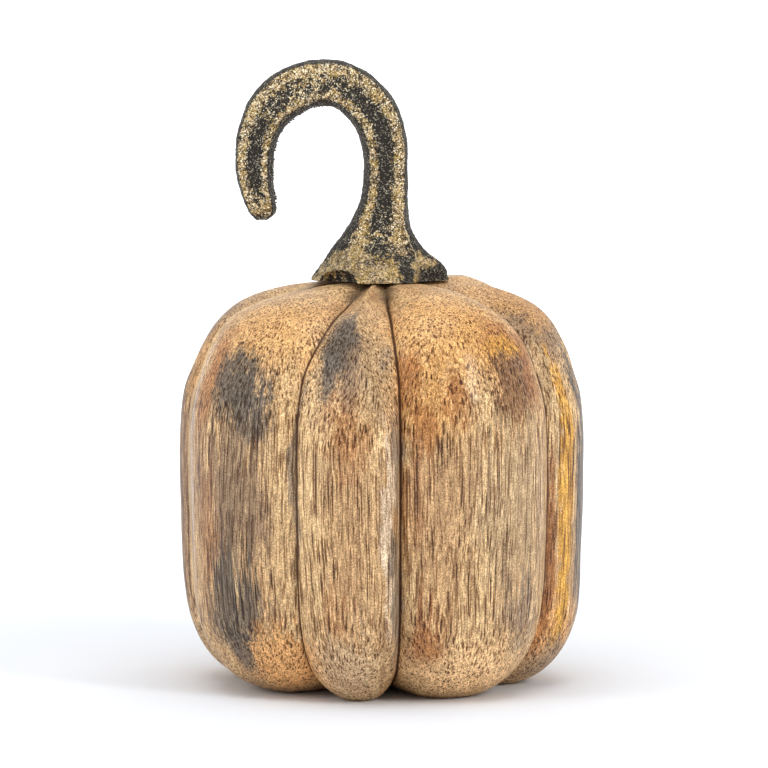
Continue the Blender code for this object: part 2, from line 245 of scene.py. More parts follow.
# Painted reflection along the left lobe's outer edge.
LILAC_REFLECTION = (0.48, 0.40, 0.36)
DARK_GREY = (0.13, 0.10, 0.078)
# Heel colours, lightened with painted bounce light from the floor.
HEEL_GOLD_BOUNCE_LIGHT = (0.76, 0.40, 0.15)
HEEL_GREY_BOUNCE_LIGHT = (0.58, 0.39, 0.22)
HEEL_CREAM_BOUNCE_LIGHT = (0.84, 0.54, 0.27)

# Colour zones of the wood, painted in this order: bearing in degrees, height,
# half sizes across and up, colour, strength and softness of the rim.
WOOD_ZONES = (
    # Far left lobe.
    (-95, 50, 10, 36, BROWN, 0.75, 0.5),
    (-92, 84, 8, 12, HONEY, 0.60, 0.5),
    (-96, 66, 4, 16, SPALT, 0.60, 0.5),
    (-100, 92, 8, 6, STREAK_TAN, 0.80, 0.5),
    # Left lobe.
    (-42, 91, 15, 10, GOLDEN, 0.90, 0.4),
    (-62, 79, 5, 12, ORANGE_BROWN, 0.75, 0.5),
    (-48, 51, 13, 23, STREAK_TAN, 0.82, 0.35),
    (-58, 44, 4, 18, ORANGE_BROWN, 0.50, 0.5),
    # Painted reflection: a lilac-grey strip along the left lobe's outer edge.
    (-73, 52, 3.0, 36, LILAC_REFLECTION, 0.70, 0.4),
    # Painted light on the left bank of the groove at -26.5 degrees, and painted shade in that
    # groove.
    (-29.8, 54, 3.2, 32, CREAM, 0.98, 0.3),
    (-26.4, 56, 1.1, 22, GREY, 0.75, 0.5),
    # Heel lightened with painted bounce light.
    (-33, 9, 13, 8, HEEL_GOLD_BOUNCE_LIGHT, 0.95, 0.4),
    (-46, 79.5, 6.6, 8.5, SPALT, 0.97, 0.45),
    (-52, 79, 5.0, 7.0, SPALT, 0.85, 0.5),
    (-41, 72, 5.5, 7.0, SPALT, 0.85, 0.5),
    (-47.5, 23, 8.8, 12, SPALT, 0.86, 0.40),
    (-47.5, 12, 4.0, 6.5, SPALT, 0.85, 0.4),
    # Centre lobe.
    (-10, 42, 6.5, 24, TAN, 0.85, 0.4),
    (-10, 68, 5.5, 11, ORANGE_BROWN, 0.60, 0.5),
    (-13.5, 24, 3.4, 8, ORANGE_BROWN, 0.55, 0.5),
    # Heel lightened with painted bounce light.
    (-11, 9, 8, 8, HEEL_GREY_BOUNCE_LIGHT, 0.90, 0.4),
    (-1, 86, 4.5, 16, GREY_TAN, 0.90, 0.4),
    # Painted light on the centre lobe's steep right flank, and painted shade beside the groove at
    # 5.8 degrees.
    (2.0, 47, 1.7, 27, PALE, 1.0, 0.3),
    (4.8, 67, 1.4, 17, GREY, 0.85, 0.4),
    (4.6, 22, 1.4, 15, GREY, 0.85, 0.4),
    (-11.5, 91.5, 3.6, 5.5, SPALT, 0.95, 0.45),
    (-14, 89, 5.6, 6.5, SPALT, 0.90, 0.45),
    (-15, 87, 4.4, 5.5, SPALT, 0.97, 0.45),
    (-18, 81.5, 3.6, 5.0, SPALT, 0.90, 0.5),
    (-9, 82, 2.4, 6.5, STREAK_TAN, 0.80, 0.5),
    (0.5, 84.5, 1.6, 4.0, GREY, 0.75, 0.5),
    # Right of the middle.
    (22, 92, 15, 11, GOLDEN, 0.92, 0.4),
    (14, 76, 9, 10, HONEY, 0.75, 0.5),
    (40, 50, 11.5, 24, GREY_TAN, 0.90, 0.35),
    (18, 41, 7.5, 21, TAN, 0.55, 0.4),
    (9.5, 82, 2.4, 6.5, ORANGE_BROWN, 0.75, 0.5),
    (12, 70, 4.2, 5, ORANGE_BROWN, 0.68, 0.5),
    (22, 76, 3.2, 4.4, ORANGE_BROWN, 0.70, 0.5),
    (9.0, 52, 2.0, 16, ORANGE_BROWN, 0.50, 0.5),
    (36, 90, 12, 9, HONEY, 0.60, 0.5),
    (47, 88, 10, 5.5, ORANGE_BROWN, 0.75, 0.45),
    (44, 87.5, 7, 2.6, YELLOW, 0.75, 0.4),
    (42.5, 79, 8.6, 7.5, BROWN, 0.97, 0.35),
    (52, 80, 3.5, 8, ORANGE_BROWN, 0.70, 0.5),
    (14, 17, 4.4, 8, ORANGE_BROWN, 0.85, 0.5),
    (44, 21, 6, 8, GREY, 0.60, 0.5),
    # Heel lightened with painted bounce light.
    (31, 8, 14, 6.5, HEEL_CREAM_BOUNCE_LIGHT, 0.90, 0.4),
    # Right lobe.
    (74, 92, 12, 10, STREAK_TAN, 0.85, 0.4),
    (80, 96, 8, 5, HONEY, 0.70, 0.5),
    (67, 70, 2.6, 18, GREY_TAN, 0.85, 0.4),
    # Heel lightened with painted bounce light.
    (69, 14, 10, 11, HEEL_GOLD_BOUNCE_LIGHT, 0.90, 0.4),
    # Painted shade on the far wall of the groove at 63 degrees, over red-brown wood.
    (65.2, 26, 1.7, 32, ORANGE_BROWN, 0.85, 0.5),
    (83, 50, 4.0, 31, SPALT, 0.60, 0.5),
    (71, 46, 2.3, 44, YELLOW, 0.98, 0.25),
    (83, 50, 5.6, 31, DARK_GREY, 0.92, 0.30),
    (91, 52, 4.0, 22, SPALT, 0.60, 0.5),
    (74, 7, 6, 5, GREY, 0.70, 0.5))
ZONE_DEPTH = 16.0
HIDDEN_COLOURS = (
    GOLDEN, STREAK_TAN, ORANGE_BROWN, SPALT, CREAM, GREY_TAN, HONEY, SPALT, YELLOW, BROWN,
    TAN, GREY, PALE)
HIDDEN_ZONES = 26
HIDDEN_SEED = 11

# Figure of the wood.  Grain size in millimetres, detail and roughness of: broad
# streaks, medium ones, fine ones, dark lines and hairs, all along the grain.
STREAKS = (
    ((7.0, 7.0, 80.0), 2.0, 0.5),
    ((2.1, 2.1, 60.0), 2.0, 0.6),
    ((0.80, 0.80, 22.0), 2.0, 0.6),
    ((0.50, 0.50, 26.0), 1.0, 0.6),
    ((0.30, 0.30, 3.6), 1.0, 0.6))
# The same for specks and mottling.
MOTTLING = (
    ((0.34, 0.34, 0.40), 1.0, 0.6),
    ((2.2, 2.2, 3.4), 3.0, 0.65))
# The same, with the reach, for the wandering of the grain and the ragged zones.
GRAIN_WANDER = ((30.0, 30.0, 50.0), 1.0, 0.5, (5.0, 5.0, 0.0))
ZONE_RAGGED = ((9.0, 9.0, 14.0), 3.0, 0.6, (8.0, 8.0, 11.0))
# How far medium and fine streaks pull a zone along the grain, in millimetres.
ZONE_LIFT = (24.0, 16.0)
# How much medium streaks, fine ones, mottling and hairs break up a zone's rim.
RIM_RAG = (1.6, 1.4, 1.0, 1.1)
LONG_PORES = (0.86, 0.86, 34.0)
SHORT_PORES = (0.80, 0.80, 10.0)
PORE_REACH = (0.23, 0.31)
# Shade where each kind of figure is low and where it is high, and the powers with
# which shade acts on red, green and blue.
BASE_SHADE = 1.07
MEDIUM_SHADE = (-0.15, 0.13)
FINE_SHADE = (-0.16, 0.10)
HAIR_SHADE = (0.74, 1.26)
SPECK_SHADE = (0.66, 1.38)
MOTTLE_SHADE = (1.12, 0.82)
SHADE_POWERS = (0.88, 1.0, 1.10)
LINE_DARKNESS = 0.78
LINE_POWERS = (0.80, 1.0, 1.20)
PORE_DARKNESS = 0.96
PORE_POWERS = (0.78, 1.0, 1.18)
FIBRE_SHARE = 0.40
WOOD_ROUGHNESS = (0.62, 0.78)
WOOD_RELIEF = 0.12
LACQUER_WEIGHT = 0.24
LACQUER_ROUGHNESS = 0.18

# Colours of the casting and of the stud, as linear light.
PATINA = (0.025, 0.0205, 0.016)
WORN_BRONZE = (0.16, 0.104, 0.051)
BRIGHT_BRASS = (0.66, 0.487, 0.255)
DEEP_YELLOW = (0.30, 0.19, 0.055)
WARM_YELLOW = (0.58, 0.40, 0.13)
DARK_FLECK = (0.040, 0.030, 0.020)
# Painted glint on single grains.
GLINT = (0.98, 0.88, 0.66)
DARK_ZINC = (0.34, 0.34, 0.35)
LIGHT_ZINC = (0.58, 0.58, 0.58)

# Figure of the paint: size, detail and roughness of patches, blots, grit and strokes.
CAST_MOTTLING = (
    ((4.2, 4.2, 4.2), 3.0, 0.65),
    ((1.2, 1.2, 1.2), 3.0, 0.65),
    ((0.46, 0.46, 0.46), 2.0, 0.7),
    ((0.45, 0.45, 3.2), 2.0, 0.6))
FLECK_SIZE = (0.31, 0.31, 0.31)
SPARK_SIZE = (0.27, 0.27, 0.27)
ZINC_CLOUD = (1.5, 1.5, 1.5)
STROKE_DEPTH = 3.2
STROKE_POWERS = (0.9, 1.0, 1.1)
CAST_RELIEF = 0.24

# Shine of the bare wood and of the paint, seen straight on.
DULL = 0.25


def smooth_step(value):
    """Ease from 0 to 1."""
    value = np.clip(value, 0.0, 1.0)
    return value * value * (3.0 - 2.0 * value)


def curve_through(knots, place):
    """Point at a place (0 to 1) on a smooth curve through the knots."""
    last = len(knots) - 1
    spot = min(last - 1e-9, max(0.0, place * last))
    start = int(spot)
    part = spot - start
    a, b, c, d = (
        np.array(knots[min(last, max(0, start + shift))]) for shift in (-1, 0, 1, 2))
    return 0.5 * (
        2.0 * b + (c - a) * part + (2.0 * a - 5.0 * b + 4.0 * c - d) * part ** 2
        + (3.0 * b - a - 3.0 * c + d) * part ** 3)


def put(name, data):
    """New object in the scene."""
    piece = bpy.data.objects.new(name, data)
    bpy.context.scene.collection.objects.link(piece)
    return piece


def fill(tree, node, inputs):
    """Set a node's inputs, or join them to other sockets."""
    for socket, value in inputs.items():
        if isinstance(value, bpy.types.NodeSocket):
            tree.links.new(value, node.inputs[socket])
        else:
            node.inputs[socket].default_value = value


def add_node(tree, kind, inputs=None, **settings):
    """Add a node with its options and inputs."""
    node = tree.nodes.new(kind)
    for option, value in settings.items():
        setattr(node, option, value)
    fill(tree, node, inputs or {})
    return node


def calc(tree, operation, first, second=0.0, third=0.0):
    """Math node's result."""
    numbers = {0: first, 1: second, 2: third}
    return add_node(tree, "ShaderNodeMath", numbers, operation=operation).outputs[0]


def times(tree, first, second):
    """Product of two numbers."""
    return calc(tree, "MULTIPLY", first, second)


def minus(tree, first, second):
    """Difference of two numbers."""
    return calc(tree, "SUBTRACT", first, second)


def times_plus(tree, first, second, third):
    """Product of two numbers with a third one added."""
    return calc(tree, "MULTIPLY_ADD", first, second, third)


def vector_calc(tree, operation, first, second=(0.0, 0.0, 0.0), third=(0.0, 0.0, 0.0)):
    """Vector math node's result."""
    vectors = {0: first, 1: second, 2: third}
    node = add_node(tree, "ShaderNodeVectorMath", vectors, operation=operation)
    return node.outputs["Value" if operation == "LENGTH" else "Vector"]


def joined(tree, x=0.0, y=0.0, z=0.0):
    """Vector of three numbers."""
    return add_node(tree, "ShaderNodeCombineXYZ", {"X": x, "Y": y, "Z": z}).outputs[0]


def remap(tree, value, low, high, low_to=0.0, high_to=1.0):
    """Eased step of a value from one range to another, held at the ends."""
    node = add_node(
        tree, "ShaderNodeMapRange",
        {"Value": value, "From Min": low, "From Max": high, "To Min": low_to, "To Max": high_to},
        interpolation_type="SMOOTHSTEP")
    return node.outputs["Result"]


def blend(tree, share, first, second, mode="MIX"):
    """Colour mix of two sockets or colours."""
    first, second = (
        colour if isinstance(colour, bpy.types.NodeSocket) else (*colour, 1.0)
        for colour in (first, second))
    return add_node(
        tree, "ShaderNodeMix", {0: share, 6: first, 7: second}, data_type="RGBA",
        blend_type=mode).outputs[2]


def tinted(tree, colour, shade, powers):
    """Colour darkened or lightened by a shade that acts differently on each channel."""
    shade = calc(tree, "MAXIMUM", shade, 0.001)
    parts = [calc(tree, "POWER", shade, power) for power in powers]
    mixed = add_node(
        tree, "ShaderNodeCombineColor", dict(zip(("Red", "Green", "Blue"), parts))).outputs[0]
    return blend(tree, 1.0, colour, mixed, "MULTIPLY")


def in_grains(tree, place, size):
    """Place counted in grains that have a size, in millimetres, along each axis."""
    return vector_calc(tree, "MULTIPLY", place, tuple(1.0 / length for length in size))


def stretched_noise(tree, place, size, detail=2.0, roughness=0.5):
    """Noise whose grains have a size along each axis."""
    return add_node(
        tree, "ShaderNodeTexNoise",
        {"Vector": in_grains(tree, place, size), "Scale": 1.0, "Detail": detail,
         "Roughness": roughness})


def stretched_cells(tree, place, size):
    """Cells that have a size along each axis."""
    return add_node(
        tree, "ShaderNodeTexVoronoi", {"Vector": in_grains(tree, place, size), "Scale": 1.0})


def strayed(tree, place, size, detail, roughness, reach):
    """Place shifted by noise, up to half a reach along each axis."""
    stray = stretched_noise(tree, place, size, detail, roughness).outputs["Color"]
    stray = vector_calc(tree, "SUBTRACT", stray, (0.5, 0.5, 0.5))
    return vector_calc(tree, "MULTIPLY_ADD", stray, reach, place)


def stored(tree, fact):
    """Number stored on a piece's points, read by its finish."""
    return add_node(tree, "ShaderNodeAttribute", attribute_name=fact).outputs["Fac"]


def place_on_piece(tree):
    """Place on the piece in millimetres."""
    place = add_node(tree, "ShaderNodeTexCoord").outputs["Object"]
    return vector_calc(tree, "MULTIPLY", place, (1.0 / MM, 1.0 / MM, 1.0 / MM))


def new_finish(name):
    """New material with its node tree and its shader."""
    made = bpy.data.materials.new(name)
    made.use_nodes = True
    return made, made.node_tree, made.node_tree.nodes["Principled BSDF"]


def bumped(tree, height, strength, relief):
    """Surface that is raised and sunk a little, as far as a relief in millimetres."""
    return add_node(
        tree, "ShaderNodeBump",
        {"Height": height, "Strength": strength, "Distance": relief * MM}).outputs["Normal"]


def zone_list():
    """The zones in view and seeded ones for the back of the body."""
    zones = list(WOOD_ZONES)
    draw = np.random.default_rng(HIDDEN_SEED)
    for index in range(HIDDEN_ZONES):
        bearing = 100.0 + 160.0 * (index * 0.618 % 1.0)
        zones.append((
            bearing, draw.uniform(8.0, 94.0), draw.uniform(2.5, 9.0), draw.uniform(8.0, 28.0),
            HIDDEN_COLOURS[index % len(HIDDEN_COLOURS)], draw.uniform(0.6, 0.95), 0.45))
    return zones


def zoned(tree, colour, place, rag):
    """Colour with all the zones laid over it in turn, each with a ragged rim."""
    radii, heights = np.array(BLANK_OUTLINE[::-1]).T
    for bearing, height, across, tall, zone_colour, strength, softness in zone_list():
        turned = add_node(
            tree, "ShaderNodeVectorRotate",
            {"Vector": place, "Center": (0.0, 0.0, 0.0), "Angle": -math.radians(bearing)},
            rotation_type="Z_AXIS").outputs[0]
        middle = (0.0, -float(np.interp(height, heights, radii)), height)
        sizes = (across, ZONE_DEPTH, tall)
        scaled = vector_calc(
            tree, "MULTIPLY_ADD", turned, tuple(1.0 / size for size in sizes),
            tuple(-spot / size for spot, size in zip(middle, sizes)))
        away = calc(tree, "ADD", vector_calc(tree, "LENGTH", scaled), rag)
        share = remap(tree, away, 1.0 + softness, 1.0 - softness, 0.0, strength)
        colour = blend(tree, share, colour, zone_colour)
    return colour


def wood_material():
    """Spalted open-pored wood under clear satin lacquer."""
    made, tree, shader = new_finish("carved_wood_finish")
    place = place_on_piece(tree)
    end_grain = stored(tree, "end_grain")

    # The grain runs upward and wanders a little from side to side.  Streaks of
    # different widths are drawn out along it, and show less on the end grain.
    grain_place = strayed(tree, place, *GRAIN_WANDER)
    broad, medium, fine, line, hair = (
        stretched_noise(tree, grain_place, *streak).outputs["Fac"] for streak in STREAKS)
    speck, mottle = (stretched_noise(tree, place, *spot).outputs["Fac"] for spot in MOTTLING)
    off_medium, off_fine, off_hair, off_mottle = (
        minus(tree, value, 0.5) for value in (medium, fine, hair, mottle))
    streaky = remap(tree, end_grain, 0.10, 0.55, 1.0, 0.12)
    colour = blend(tree, remap(tree, broad, 0.36, 0.64), TAN, CREAM)

    # Zones are pulled along the grain by the streaks, so their ends are ragged.
    lift = times_plus(tree, off_medium, ZONE_LIFT[0], times(tree, off_fine, ZONE_LIFT[1]))
    lift = joined(tree, z=times(tree, lift, streaky))
    zone_place = vector_calc(tree, "ADD", strayed(tree, place, *ZONE_RAGGED), lift)
    rag = times_plus(tree, off_medium, RIM_RAG[0], times(tree, off_fine, RIM_RAG[1]))
    rag = times_plus(tree, off_mottle, RIM_RAG[2], times(tree, rag, streaky))
    rag = times_plus(tree, off_hair, RIM_RAG[3], rag)
    colour = zoned(tree, colour, zone_place, rag)

    # Streaks, fine grain and mottling over everything.
    streaks = calc(
        tree, "ADD", remap(tree, medium, 0.38, 0.62, *MEDIUM_SHADE),
        remap(tree, fine, 0.36, 0.64, *FINE_SHADE))
    shade = times_plus(tree, streaks, streaky, BASE_SHADE)
    shade = times(tree, shade, remap(tree, hair, 0.34, 0.66, *HAIR_SHADE))
    shade = times(tree, shade, remap(tree, speck, 0.34, 0.66, *SPECK_SHADE))
    shade = times(tree, shade, remap(tree, mottle, 0.34, 0.68, *MOTTLE_SHADE))
    colour = tinted(tree, colour, shade, SHADE_POWERS)

    # Dark wood keeps light fibres between wider pores.
    light = add_node(tree, "ShaderNodeRGBToBW", {"Color": colour}).outputs[0]
    dark = remap(tree, light, 0.30, 0.14)
    fibre = times(tree, remap(tree, hair, 0.52, 0.66), dark)
    colour = blend(tree, times(tree, fibre, FIBRE_SHARE), colour, FIBRE)

    # Thin dark lines of closed grain.
    lines = times(
        tree, remap(tree, line, 0.44, 0.37), remap(tree, end_grain, 0.10, 0.60, 0.75, 0.45))
    colour = tinted(tree, colour, times_plus(tree, lines, -LINE_DARKNESS, 1.0), LINE_POWERS)

    # Pores: thin tubes along the grain, so they are lines on the sides and dots
    # where the surface cuts across them.
    long_pores, short_pores = (
        stretched_cells(tree, grain_place, size).outputs["Distance"]
        for size in (LONG_PORES, SHORT_PORES))
    reach = times_plus(tree, dark, 0.07, remap(tree, broad, 0.35, 0.65, *PORE_REACH))
    reach = calc(tree, "ADD", reach, remap(tree, end_grain, 0.20, 0.60, 0.0, 0.03))
    long_mask = remap(tree, minus(tree, long_pores, reach), 0.05, -0.06)
    short_mask = remap(tree, minus(tree, short_pores, reach), -0.01, -0.12)
    pores = calc(tree, "MAXIMUM", long_mask, times(tree, short_mask, 0.85))
    depth = times(tree, pores, remap(tree, fine, 0.30, 0.70, 0.92, 0.70))
    colour = tinted(tree, colour, times_plus(tree, depth, -PORE_DARKNESS, 1.0), PORE_POWERS)

    # Edges beside the grooves pale with wear and a painted highlight; in the grooves a
    # red-brown band of stain and painted shade, and painted shadow under the stem's foot.
    pale_edge_share = times_plus(tree, off_mottle, 0.5, stored(tree, "edge_wear_and_highlight"))
    colour = blend(tree, remap(tree, pale_edge_share, 0.25, 0.85, 0.0, 0.75), colour, PALE_EDGE_WEAR_AND_HIGHLIGHT)
    groove_stain_and_shade = times_plus(tree, off_mottle, 0.5, stored(tree, "groove_stain_and_shade"))
    colour = blend(tree, remap(tree, groove_stain_and_shade, 0.30, 0.72, 0.0, 0.92), colour, RED_BROWN_STAIN_AND_SHADE)
    # Painted shadow darkens the grooves under the stem's foot.
    colour = blend(tree, times(tree, stored(tree, "shade"), 0.80), colour, SEAT_SHADOW_PAINT)

    height = times_plus(tree, pores, -1.0, times(tree, hair, 0.6))
    height = times_plus(tree, speck, 0.4, height)
    fill(tree, shader, {
        "Base Color": colour, "Roughness": remap(tree, fine, 0.25, 0.75, *WOOD_ROUGHNESS),
        "Coat Weight": LACQUER_WEIGHT, "Coat Roughness": LACQUER_ROUGHNESS,
        "Specular IOR Level": DULL, "Normal": bumped(tree, height, 0.5, WOOD_RELIEF)})
    return made


def outline_rows():
    """Evenly spaced points and outward directions along the blank's outline."""
    fine = np.array([
        curve_through(BLANK_OUTLINE, step / OUTLINE_STEPS) for step in range(OUTLINE_STEPS + 1)])
    lengths = np.concatenate(([0.0], np.cumsum(np.hypot(*np.diff(fine, axis=0).T))))
    hole_at = np.interp(HOLE_RADIUS, fine[:SEAT_STEPS, 0], lengths[:SEAT_STEPS])
    wanted = np.linspace(hole_at, lengths[-1], OUTLINE_ROWS)
    radius = np.interp(wanted, lengths, fine[:, 0])
    height = np.interp(wanted, lengths, fine[:, 1])
    run_r = np.gradient(radius)
    run_z = np.gradient(height)
    length = np.hypot(run_r, run_z)
    return radius, height, -run_z / length, run_r / length


def scored_depth(bearing, radius, height):
    """Depth of the scored lines at each point, measured along the surface."""
    depth = np.zeros(len(bearing))
    for deepest, width, path in SCORED_LINES:
        nearest = np.full(len(bearing), np.inf)
        for (turn_a, high_a), (turn_b, high_b) in zip(path, path[1:]):
            from_a = (np.degrees(bearing) - turn_a + 180.0) % 360.0 - 180.0
            along_x = np.radians(from_a) * radius
            along_z = height - high_a
            run_x = np.radians(turn_b - turn_a) * radius
            run_z = high_b - high_a
            share = np.clip(
                (along_x * run_x + along_z * run_z) / (run_x ** 2 + run_z ** 2), 0.0, 1.0)
            gap = np.hypot(along_x - run_x * share, along_z - run_z * share)
            nearest = np.minimum(nearest, gap)
        depth += deepest * np.exp(-(nearest / width) ** 2)
    return depth


def lobe_facts(lobe, across, radius, height):
    """Bearing of each point, and the facts that say how deep and in what tone it is carved."""
    def own(values, index=lobe):
        return np.array(values)[index]

    after = (lobe + 1) % LOBES
    turn = smooth_step((height - TURN_BAND[0]) / TURN_BAND[1])
    ends = (*GROOVE_BEARING[1:], GROOVE_BEARING[0] + 360.0)
    start = own(GROOVE_BEARING) + own(GROOVE_TURN) * turn
    width = own(ends) + own(GROOVE_TURN, after) * turn - start
    bearing = np.radians(start + across * width)

    # The crest of each lobe shifts sideways at the shoulder and the heel.
    rise = smooth_step((height - SHOULDER_BAND[0]) / SHOULDER_BAND[1])
    low = smooth_step((HEEL_CREST_BAND[0] - height) / HEEL_CREST_BAND[1])
    side = own(SIDE_CREST)
    crest = side + (own(SHOULDER_CREST) - side) * rise + (own(HEEL_CREST) - side) * low
    before = across < crest
    off = np.where(before, (crest - across) / crest, (across - crest) / (1.0 - crest))

    first_half = across < 0.5
    closest = np.where(first_half, lobe, after)
    arc = np.radians(width) * radius * np.minimum(across, 1.0 - across)
    shade_and_stain_width = np.where(first_half, own(SHADE_AND_STAIN_AFTER), own(SHADE_AND_STAIN_BEFORE, after))
    pale_edge = np.where(first_half, 0.0, own(EDGE_WEAR_AND_HIGHLIGHT, closest))
    sharp = smooth_step((height - RIDGE_BAND[0]) / RIDGE_BAND[1])
    upper = height > MIDDLE_HEIGHT
    fade_start = np.where(upper, TOP_FADE[0], BOTTOM_FADE[0])
    fade_length = np.where(upper, TOP_FADE[1], BOTTOM_FADE[1])
    heel = smooth_step((HEEL_BAND[0] - height) / HEEL_BAND[1])
    return bearing, {
        "off_crest": off,
        "groove_depth": own(GROOVE_DEPTH, np.where(before, lobe, after)),
        "line_depth": own(LINE_DEPTH, closest),
        "line_arc": arc,
        "carving_fade": smooth_step((radius - fade_start) / fade_length),
        "swell": own(SIDE_SWELL) + own(SHOULDER_SWELL) * rise + own(HEEL_SWELL) * heel,
        "ridge": own(RIDGE_LOW) + (own(RIDGE_HIGH) - own(RIDGE_LOW)) * sharp,
        "score": scored_depth(bearing, radius, height),
        # Pale edges are wear with a painted highlight, the red-brown band is stain with painted
        # shade, and shade is painted shadow under the stem's foot.
        "edge_wear_and_highlight": pale_edge * np.exp(-((arc - PALE_EDGE_PLACE) / PALE_EDGE_WIDTH) ** 2),
        "groove_stain_and_shade": np.exp(-(arc / shade_and_stain_width) ** 2)
        * smooth_step((radius - SHADE_AND_STAIN_REACH[0]) / SHADE_AND_STAIN_REACH[1]),
        "shade": np.exp(-(arc / SEAT_SHADOW_WIDTH) ** 2)
        * smooth_step((SEAT_SHADOW_REACH[0] - radius) / SEAT_SHADOW_REACH[1])}


def blank_faces(rows, columns):
    """Faces of the blank, whose last two points close the hole's floor and the underside."""
    hole_floor = rows * columns
    underside = hole_floor + 1
    last = hole_floor - columns
    faces = []
    for here in range(0, last, columns):
        below = here + columns
        for column in range(columns):
            after = (column + 1) % columns
            faces.append((here + column, below + column, below + after, here + after))
    for column in range(columns):
        after = (column + 1) % columns
        faces.append((hole_floor, column, after))
        faces.append((last + column, underside, last + after))
    return faces


def wood_blank():
    """Turned blank with the facts that the carving tree needs on each point."""
    radius, height, out_r, out_z = outline_rows()
    hole = np.linspace(HOLE_FLOOR, SEAT_HEIGHT, HOLE_ROWS, endpoint=False)
    height = np.concatenate((hole, height))
    radius = np.pad(radius, (HOLE_ROWS, 0), constant_values=HOLE_RADIUS)
    out_r, out_z = (np.pad(values, (HOLE_ROWS, 0)) for values in (out_r, out_z))

    # A point for each row and column, with the columns crowded at the grooves.
    rows = len(radius) - 1
    columns = LOBES * COLUMNS_PER_LOBE
    radius, height, out_r, out_z = (
        np.repeat(values[:-1], columns) for values in (radius, height, out_r, out_z))
    share = np.arange(COLUMNS_PER_LOBE) / COLUMNS_PER_LOBE
    share = share - COLUMN_CROWDING * np.sin(2.0 * math.pi * share)
    across = np.tile(share, LOBES * rows)
    lobe = np.tile(np.repeat(np.arange(LOBES), COLUMNS_PER_LOBE), rows)
    bearing, facts = lobe_facts(lobe, across, radius, height)
    facts["end_grain"] = np.abs(out_z)
    points = np.stack((radius * np.sin(bearing), -radius * np.cos(bearing), height), axis=1)
    outward = np.stack((out_r * np.sin(bearing), -out_r * np.cos(bearing), out_z), axis=1)
    points = np.vstack((points, ((0.0, 0.0, HOLE_FLOOR), (0.0, 0.0, 0.0))))
    outward = np.vstack((outward, np.zeros((2, 3))))

    mesh = bpy.data.meshes.new("wood_blank")
    mesh.from_pydata(points * MM, [], blank_faces(rows, columns))
    for fact, values in facts.items():
        layer = mesh.attributes.new(fact, "FLOAT", "POINT")
        layer.data.foreach_set("value", np.append(values, (0.0, 0.0)).astype(np.float32))
    layer = mesh.attributes.new("outward", "FLOAT_VECTOR", "POINT")
    layer.data.foreach_set("vector", outward.astype(np.float32).ravel())
    return mesh


def named_fact(tree, fact, kind="FLOAT"):
    """Value of a stored fact in a Geometry Nodes tree."""
    node = add_node(tree, "GeometryNodeInputNamedAttribute", {"Name": fact}, data_type=kind)
    return node.outputs["Attribute"]


def tree_with_inputs(title, numbers):
    """Empty Geometry Nodes tree with a geometry input, named numbers and an output."""
    tree = bpy.data.node_groups.new(title, "GeometryNodeTree")
    tree.interface.new_socket("Geometry", in_out="INPUT", socket_type="NodeSocketGeometry")
    for label, value in numbers.items():
        socket = tree.interface.new_socket(label, in_out="INPUT", socket_type="NodeSocketFloat")
        socket.default_value = value
    tree.interface.new_socket("Geometry", in_out="OUTPUT", socket_type="NodeSocketGeometry")
    return tree, tree.nodes.new("NodeGroupInput").outputs


def worked(tree, kind, **inputs):
    """Geometry that a node of a kind makes from its inputs."""
    return add_node(tree, "GeometryNode" + kind, inputs).outputs[0]


def end_tree(tree, geometry, finish):
    """End a tree in one plain mesh with its finish."""
    plain = worked(tree, "RealizeInstances", Geometry=geometry)
    finished = worked(tree, "SetMaterial", Geometry=plain, Material=finish)
    tree.links.new(finished, tree.nodes.new("NodeGroupOutput").inputs[0])


def plain_mesh(piece):
    """Mesh of a piece with its modifiers worked out."""
    bpy.context.view_layer.update()
    evaluated = piece.evaluated_get(bpy.context.evaluated_depsgraph_get())
    return bpy.data.meshes.new_from_object(evaluated)


def mesh_by_tree(name, mesh, tree, numbers):
    """Mesh that a tree makes of another one."""
    piece = put(name, mesh)
    modifier = piece.modifiers.new(tree.name, "NODES")
    modifier.node_group = tree
    for socket in tree.interface.items_tree:
        if socket.item_type == "SOCKET" and socket.in_out == "INPUT" and socket.name in numbers:
            modifier[socket.identifier] = numbers[socket.name]
    finished = plain_mesh(piece)
    bpy.data.objects.remove(piece)
    return finished


